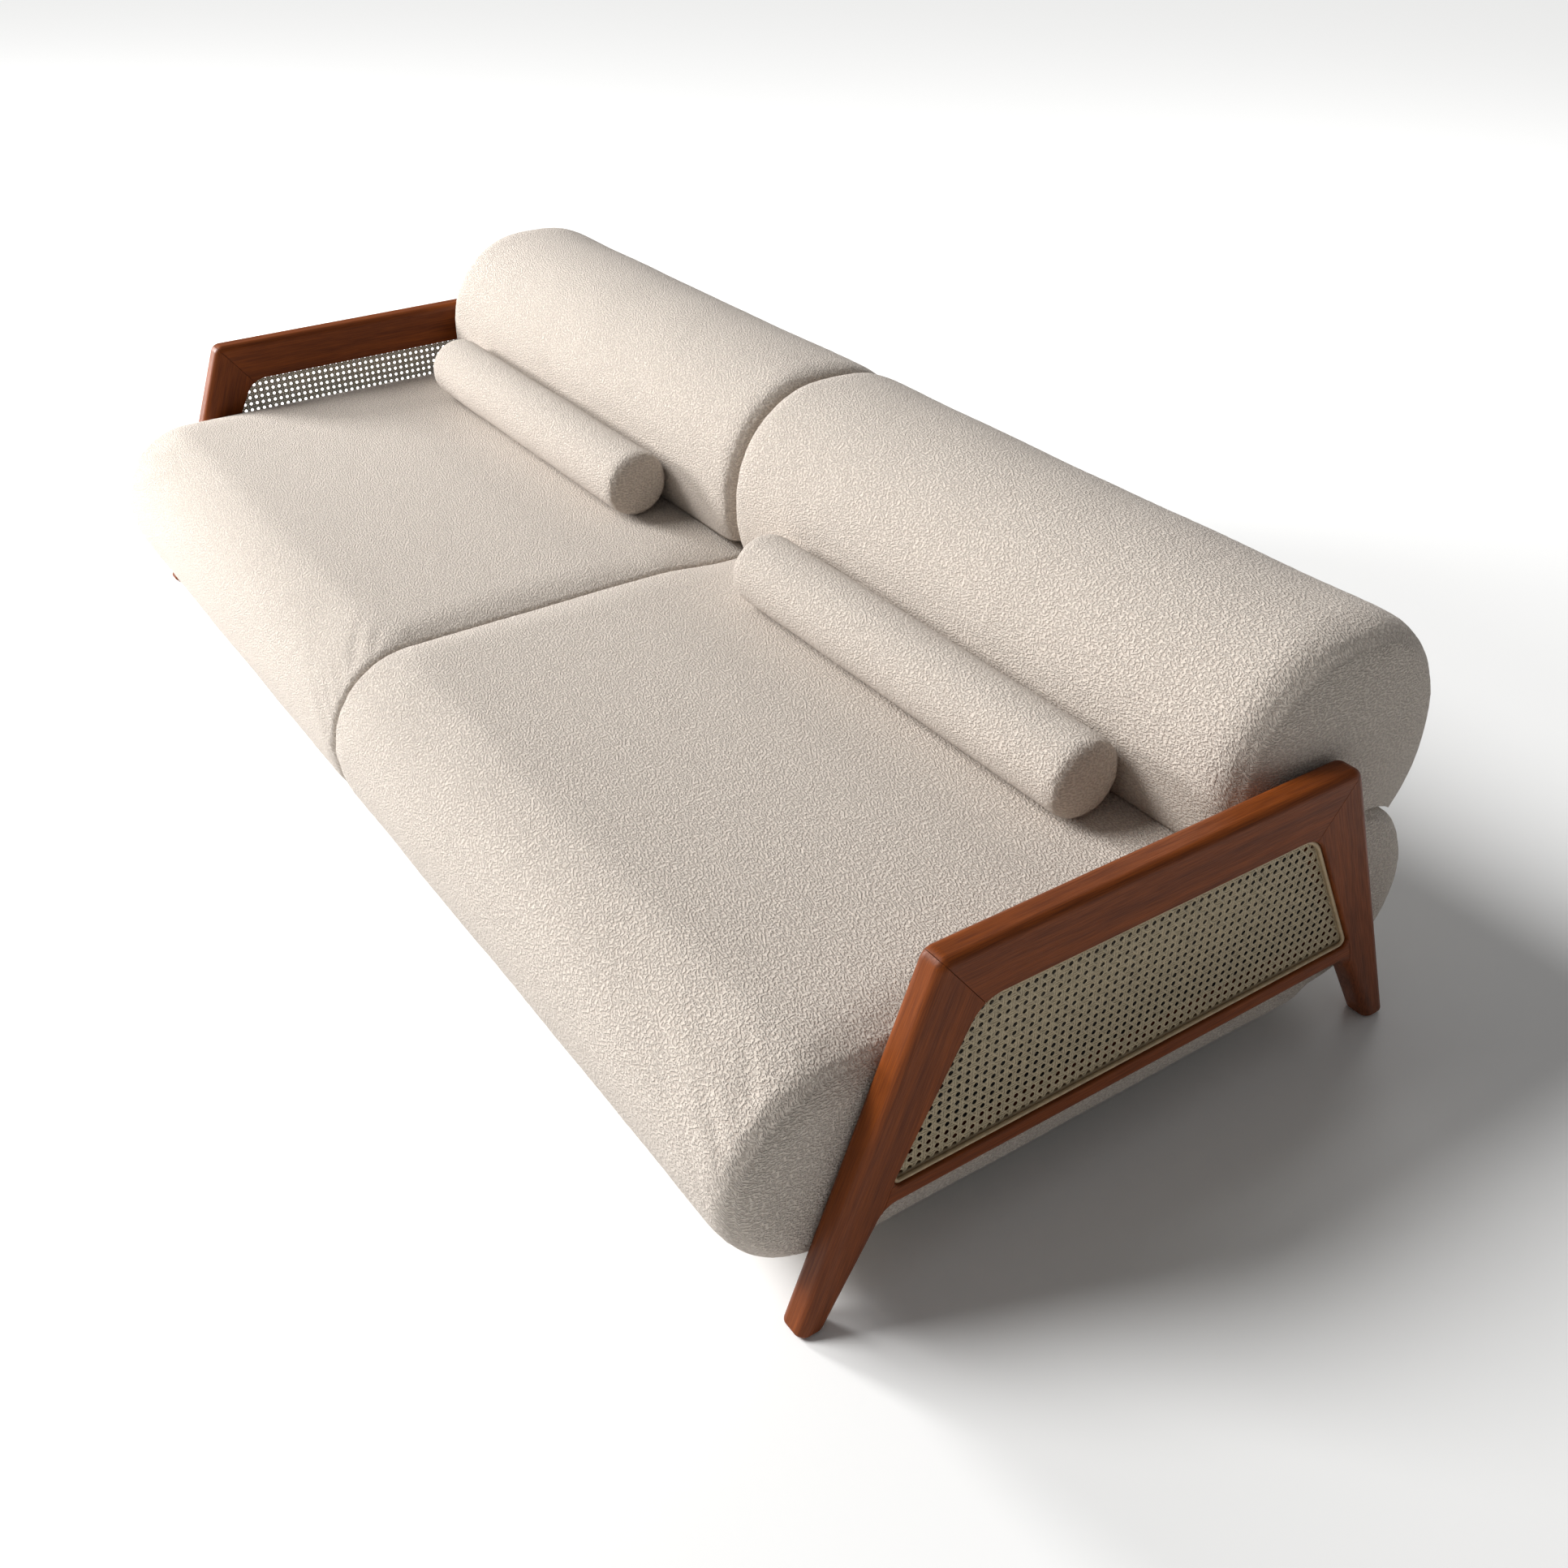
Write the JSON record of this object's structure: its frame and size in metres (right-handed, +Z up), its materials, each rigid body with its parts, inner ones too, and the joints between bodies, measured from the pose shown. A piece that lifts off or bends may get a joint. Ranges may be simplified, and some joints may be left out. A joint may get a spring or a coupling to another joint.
{
  "type": "daybed",
  "caption": "Long upholstered daybed sofa: rounded seat modules and lift-off roll backrests in boucle, loose bolsters, and splayed timber side frames with woven cane panels.",
  "frame": {"origin": "on the floor under the middle of the object's box", "axes": "+X along the length to the right as seen from the front, -Y is the front, +Z up"},
  "size_m": [2.806, 1.346, 0.74],
  "materials": {
    "stained_hardwood": "red-brown stain under satin lacquer",
    "carcass_timber": "planed softwood",
    "woven_cane": "woven cane strands, matt",
    "cane_bead": "round cane bead, satin",
    "boucle": "looped wool boucle",
    "foam": "open-cell foam",
    "dust_cloth": "plain lining cloth",
    "elastic_webbing": "woven elastic strap",
    "zip_tape": "zip tape and coil",
    "nylon": "matt nylon",
    "black_steel": "black powder coat",
    "zinc_steel": "bright zinc plate"
  },
  "bodies": {
    "base": {"centre_legs": "black_steel", "foot_glides": "nylon", "frame_dowels": "carcass_timber", "joining_plates": "zinc_steel", "joining_screws": "zinc_steel", "left_arm_rail": "stained_hardwood", "left_cane_beads": "cane_bead", "left_cane_panel": "woven_cane", "left_dust_cover": "dust_cloth", "left_front_leg": "stained_hardwood", "left_lower_rail": "stained_hardwood", "left_rear_leg": "stained_hardwood", "left_seat_cover": "boucle", "left_seat_end_rails": "carcass_timber", "left_seat_foam": "foam", "left_seat_front_rail": "carcass_timber", "left_seat_post_rail": "carcass_timber", "left_seat_rear_rail": "carcass_timber", "left_seat_webbing": "elastic_webbing", "mounting_bolts": "zinc_steel", "post_sockets": "zinc_steel", "right_arm_rail": "stained_hardwood", "right_cane_beads": "cane_bead", "right_cane_panel": "woven_cane", "right_dust_cover": "dust_cloth", "right_front_leg": "stained_hardwood", "right_lower_rail": "stained_hardwood", "right_rear_leg": "stained_hardwood", "right_seat_cover": "boucle", "right_seat_end_rails": "carcass_timber", "right_seat_foam": "foam", "right_seat_front_rail": "carcass_timber", "right_seat_post_rail": "carcass_timber", "right_seat_rear_rail": "carcass_timber", "right_seat_webbing": "elastic_webbing", "spacer_sleeves": "zinc_steel", "threaded_inserts": "zinc_steel"},
    "left_backrest": {"left_back_foam": "foam", "left_back_cover": "boucle", "left_back_rails": "carcass_timber", "left_back_uprights": "carcass_timber", "left_back_posts": "zinc_steel"},
    "left_bolster": {"left_bolster_foam": "foam", "left_bolster_cover": "boucle", "left_bolster_zip": "zip_tape"},
    "right_backrest": {"right_back_foam": "foam", "right_back_cover": "boucle", "right_back_rails": "carcass_timber", "right_back_uprights": "carcass_timber", "right_back_posts": "zinc_steel"},
    "right_bolster": {"right_bolster_foam": "foam", "right_bolster_cover": "boucle", "right_bolster_zip": "zip_tape"}
  },
  "joints": [
    {"name": "left_backrest_lift", "type": "slide", "parent": "base", "child": "left_backrest", "axis": [0, 0, 1], "range_m": [0, 0.13]},
    {"name": "right_backrest_lift", "type": "slide", "parent": "base", "child": "right_backrest", "axis": [0, 0, 1], "range_m": [0, 0.13]},
    {"name": "left_bolster_lift", "type": "slide", "parent": "base", "child": "left_bolster", "axis": [0, 0, 1], "range_m": [0, 0.15]},
    {"name": "right_bolster_lift", "type": "slide", "parent": "base", "child": "right_bolster", "axis": [0, 0, 1], "range_m": [0, 0.15]}
  ]
}
